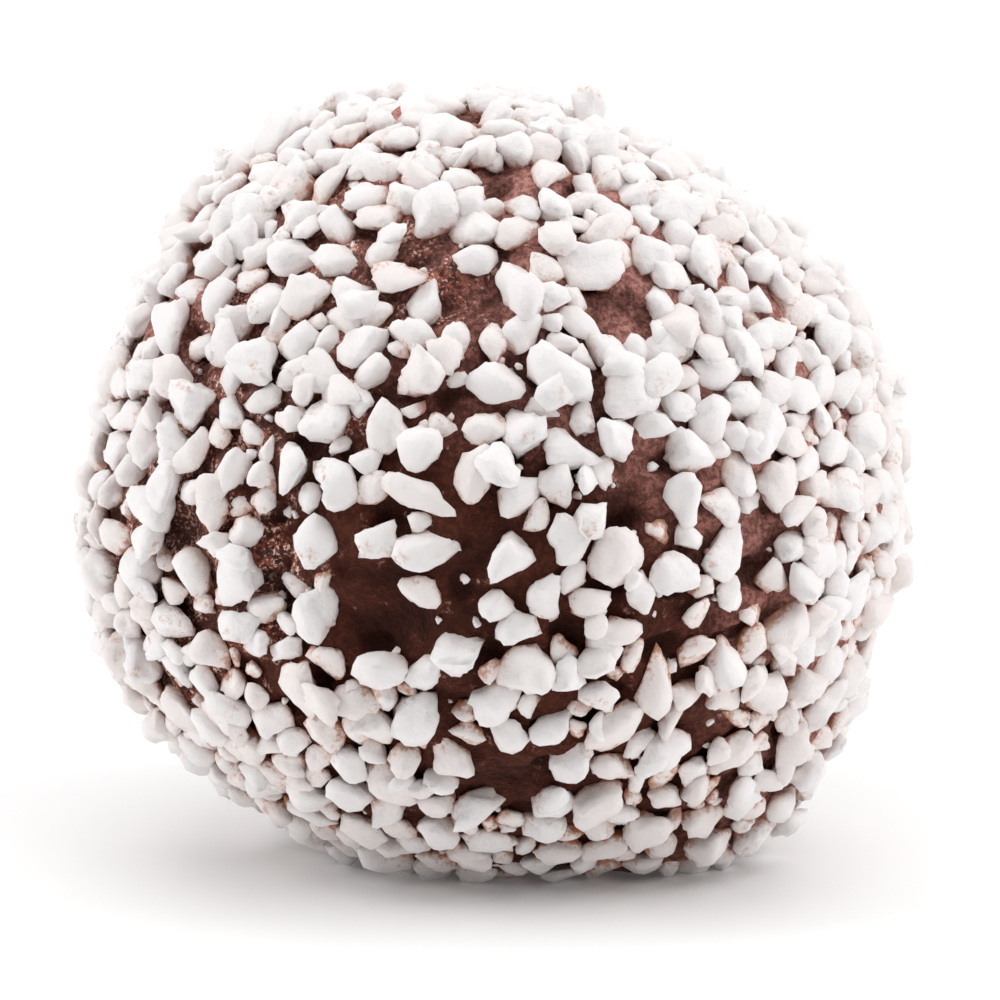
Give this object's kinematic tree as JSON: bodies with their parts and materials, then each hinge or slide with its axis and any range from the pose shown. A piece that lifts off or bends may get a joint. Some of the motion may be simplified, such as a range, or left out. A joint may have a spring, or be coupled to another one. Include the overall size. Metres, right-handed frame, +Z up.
{
  "type": "chocolate ball",
  "caption": "Hand-rolled ball of dark chocolate dough, sagged flat where it rests and covered all over with white pearl sugar nibs.",
  "frame": {"origin": "centre of the ball's footprint at the level of the surface that it rests on", "axes": "+Z up; the side shown in front faces -Y; +X to the right, the ball's longest side"},
  "size_m": [0.0468, 0.0464, 0.044],
  "materials": {
    "chocolate": "moist dark cocoa dough with a fine crumb, satin where it was pressed",
    "pearl_sugar": "opaque matt white sugar crystals, slightly stained brown where they sink into the chocolate"
  },
  "bodies": {
    "root": {"chocolate_ball": "chocolate"}
  },
  "joints": []
}
